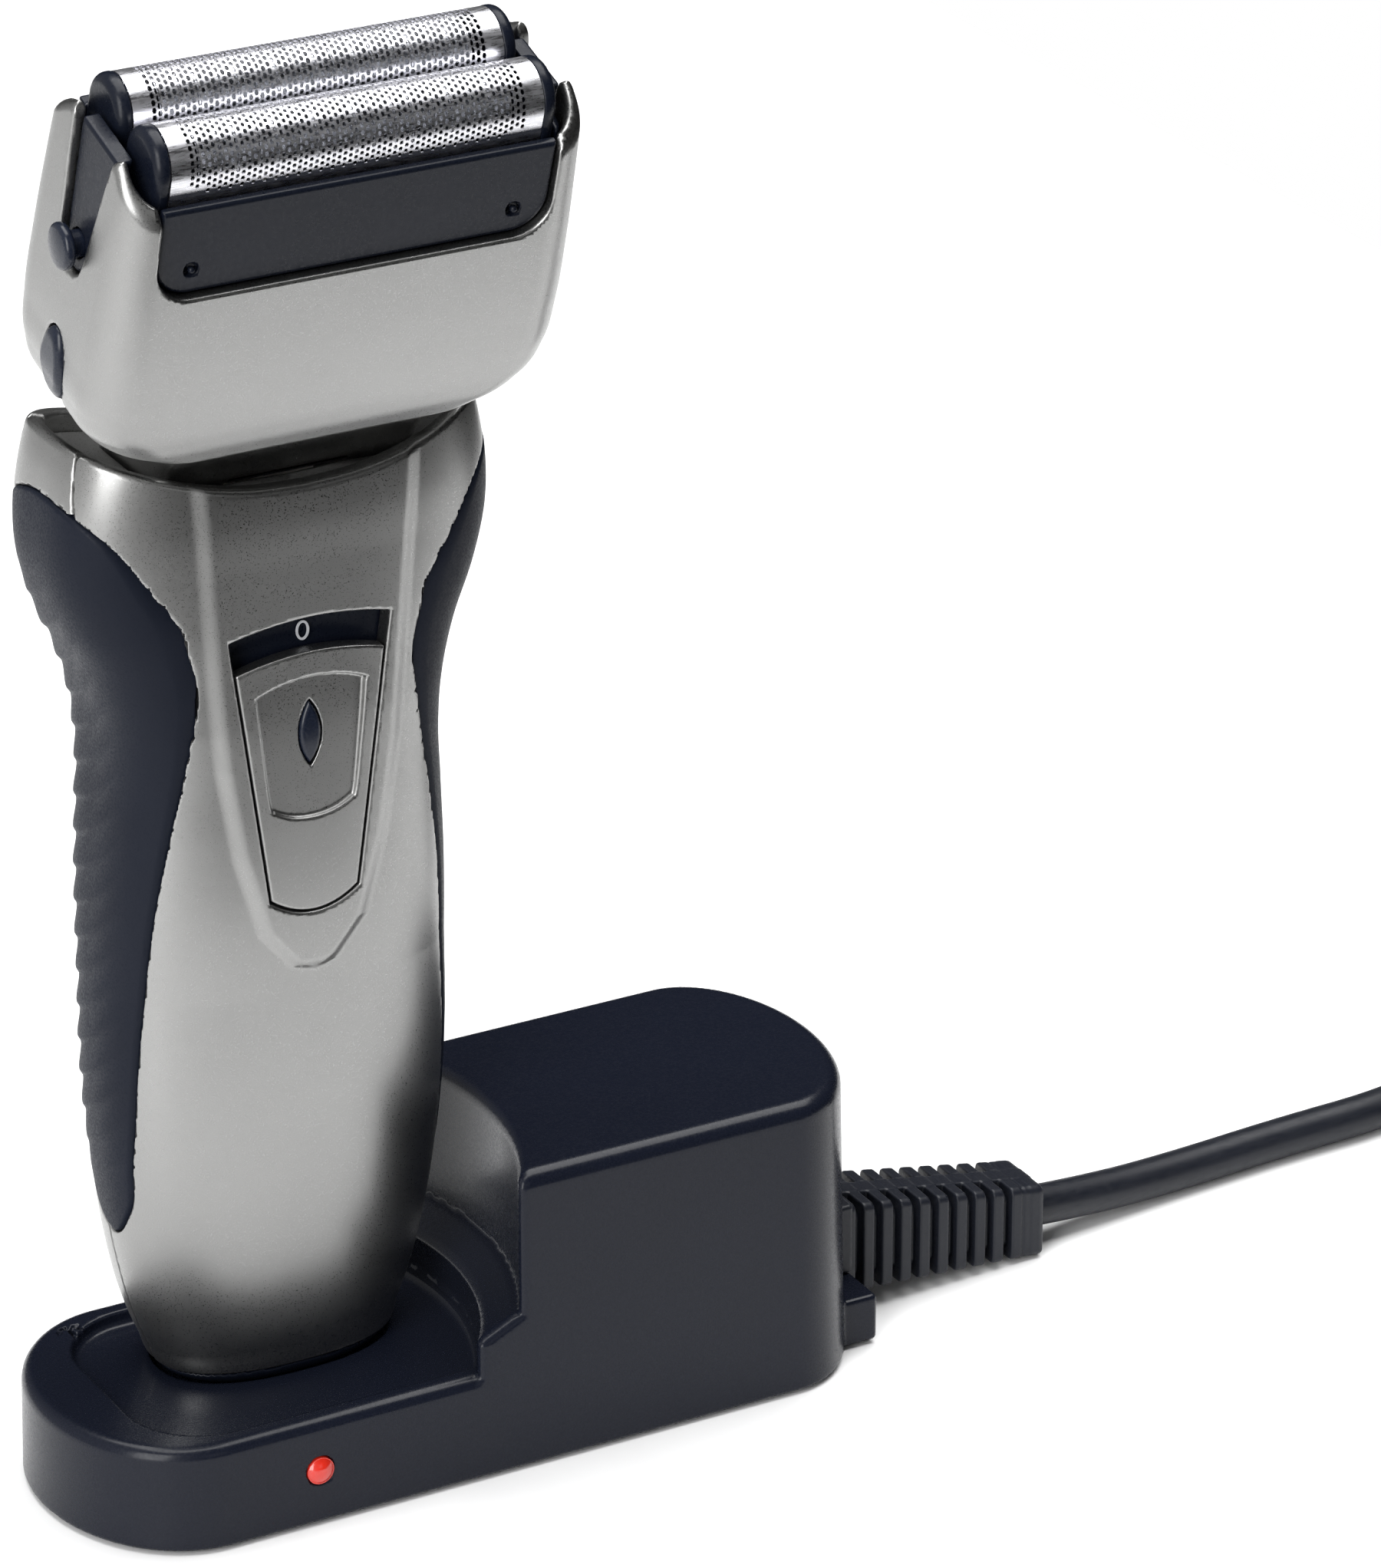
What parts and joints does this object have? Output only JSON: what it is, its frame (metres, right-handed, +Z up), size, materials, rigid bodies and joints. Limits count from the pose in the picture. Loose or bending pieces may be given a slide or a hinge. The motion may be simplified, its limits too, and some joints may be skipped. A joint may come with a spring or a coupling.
{
  "type": "foil shaver",
  "caption": "Cordless foil shaver with twin arched foils, sliding lockable switch and rubber grips, standing in a mains charging stand.",
  "frame": {"origin": "on the table, under the middle of the stand", "axes": "+Z up, +X along the stand from the shaver towards the tall block and cord, -Y towards the switch side"},
  "size_m": [0.374, 0.0453, 0.1683],
  "materials": {
    "stand_plastic": "glossy moulded plastic, dark navy",
    "cover_plastic": "fine texture",
    "stand_rubber": "matte",
    "screw_steel": "plated",
    "lamp_red": "clear red lens",
    "board_green": "printed circuit board",
    "copper_winding": "enamelled copper wire",
    "core_steel": "stacked laminations",
    "relief_rubber": "moulded",
    "cord_vinyl": "smooth vinyl",
    "plug_plastic": "moulded",
    "pin_brass": "nickel-plated brass",
    "silver_paint": "satin metallic silver paint",
    "dark_plastic": "dark navy",
    "grip_rubber": "soft-touch navy rubber",
    "chassis_plastic": "white moulded",
    "cell_wrap": "heat-shrink wrap",
    "motor_steel": "drawn can",
    "shaft_steel": "ground",
    "drive_plastic": "acetal",
    "foil_steel": "perforated bright foil",
    "blade_steel": "ground edges",
    "button_plastic": "polished navy"
  },
  "bodies": {
    "stand": {"stand_shell": "stand_plastic", "stand_bottom_cover": "cover_plastic", "stand_screws": "screw_steel", "stand_feet": "stand_rubber", "charge_lamp": "lamp_red", "charging_coil": "copper_winding", "stand_circuit_board": "board_green", "transformer_core": "core_steel", "transformer_winding": "copper_winding", "strain_relief": "relief_rubber", "mains_cord": "cord_vinyl", "cord_coil": "cord_vinyl", "plug_lead": "cord_vinyl", "mains_plug": "plug_plastic", "plug_pins": "pin_brass"},
    "handle": {"foot_cap": "button_plastic", "front_panel": "silver_paint", "rear_panel": "dark_plastic", "left_grip": "grip_rubber", "right_grip": "grip_rubber", "left_shoulder": "silver_paint", "right_shoulder": "silver_paint", "collar": "silver_paint", "neck": "silver_paint", "neck_seal": "stand_rubber", "inner_chassis": "chassis_plastic", "battery_cells": "cell_wrap", "motor_can": "motor_steel", "circuit_board": "board_green", "pickup_coil": "copper_winding", "switch_guide": "dark_plastic", "trimmer_pin": "shaft_steel"},
    "switch": {"switch_plate": "silver_paint"},
    "switch_lock": {"switch_lock": "button_plastic"},
    "motor_shaft": {"motor_shaft": "shaft_steel"},
    "oscillator": {"drive_oscillator": "drive_plastic"},
    "front_blade": {"front_blade": "blade_steel"},
    "rear_blade": {"rear_blade": "blade_steel"},
    "trimmer": {"trimmer_arm": "dark_plastic", "trimmer_comb": "blade_steel"},
    "trimmer_cutter": {"trimmer_cutter": "blade_steel"},
    "foil_frame": {"foil_frame": "silver_paint"},
    "frame_button_left": {"frame_button_left": "button_plastic"},
    "frame_button_right": {"frame_button_right": "button_plastic"},
    "cassette": {"foil_cassette": "dark_plastic"},
    "front_foil": {"front_foil": "foil_steel", "front_foil_caps": "button_plastic"},
    "rear_foil": {"rear_foil": "foil_steel", "rear_foil_caps": "button_plastic"},
    "foil_button_left": {"foil_button_left": "dark_plastic"},
    "foil_button_right": {"foil_button_right": "dark_plastic"}
  },
  "joints": [
    {"name": "shaver_lift", "type": "slide", "parent": "stand", "child": "handle", "axis": [0, 0, 1], "range_m": [0, 0.09]},
    {"name": "power_switch", "type": "slide", "parent": "handle", "child": "switch", "axis": [0, 0, 1], "range_m": [0, 0.0036]},
    {"name": "switch_lock_press", "type": "slide", "parent": "switch", "child": "switch_lock", "axis": [0, 1, 0], "range_m": [0, 0.0008], "stiffness_N_per_m": 300, "springref_m": -0.0002},
    {"name": "motor_spin", "type": "hinge", "parent": "handle", "child": "motor_shaft", "pos_m": [-0.0186, 0.0034, 0.1], "axis": [0, 0, 1], "continuous": true},
    {"name": "blade_drive", "type": "slide", "parent": "handle", "child": "oscillator", "axis": [1, 0, 0], "range_m": [-0.0012, 0.0012]},
    {"name": "front_blade_float", "type": "slide", "parent": "oscillator", "child": "front_blade", "axis": [0, -0.3173, 0.9483], "range_m": [-0.0015, 0], "stiffness_N_per_m": 150, "springref_m": 0.0004},
    {"name": "rear_blade_float", "type": "slide", "parent": "oscillator", "child": "rear_blade", "axis": [0, -0.3173, 0.9483], "range_m": [-0.0015, 0], "stiffness_N_per_m": 150, "springref_m": 0.0004},
    {"name": "trimmer_fold", "type": "hinge", "parent": "handle", "child": "trimmer", "pos_m": [-0.0186, 0.0152, 0.084], "axis": [-1, 0, 0], "range_deg": [0, 75]},
    {"name": "trimmer_drive", "type": "slide", "parent": "trimmer", "child": "trimmer_cutter", "axis": [1, 0, 0], "range_m": [-0.0008, 0.0008]},
    {"name": "frame_lift", "type": "slide", "parent": "handle", "child": "foil_frame", "axis": [0, -0.3173, 0.9483], "range_m": [0, 0.032]},
    {"name": "frame_button_left_press", "type": "slide", "parent": "foil_frame", "child": "frame_button_left", "axis": [1, 0, 0], "range_m": [0, 0.0011], "stiffness_N_per_m": 300, "springref_m": -0.0002},
    {"name": "frame_button_right_press", "type": "slide", "parent": "foil_frame", "child": "frame_button_right", "axis": [-1, 0, 0], "range_m": [0, 0.0011], "stiffness_N_per_m": 300, "springref_m": -0.0002},
    {"name": "cassette_lift", "type": "slide", "parent": "foil_frame", "child": "cassette", "axis": [0, -0.3173, 0.9483], "range_m": [0, 0.02]},
    {"name": "front_foil_float", "type": "slide", "parent": "cassette", "child": "front_foil", "axis": [0, -0.3173, 0.9483], "range_m": [-0.0015, 0], "stiffness_N_per_m": 200, "springref_m": 0.0004},
    {"name": "rear_foil_float", "type": "slide", "parent": "cassette", "child": "rear_foil", "axis": [0, -0.3173, 0.9483], "range_m": [-0.0015, 0], "stiffness_N_per_m": 200, "springref_m": 0.0004},
    {"name": "foil_button_left_press", "type": "slide", "parent": "cassette", "child": "foil_button_left", "axis": [1, 0, 0], "range_m": [0, 0.0009], "stiffness_N_per_m": 300, "springref_m": -0.0002},
    {"name": "foil_button_right_press", "type": "slide", "parent": "cassette", "child": "foil_button_right", "axis": [-1, 0, 0], "range_m": [0, 0.0009], "stiffness_N_per_m": 300, "springref_m": -0.0002}
  ],
  "couplings": [
    {"joint": "front_blade_float", "follows": "front_foil_float", "ratio": 1},
    {"joint": "rear_blade_float", "follows": "rear_foil_float", "ratio": 1}
  ]
}
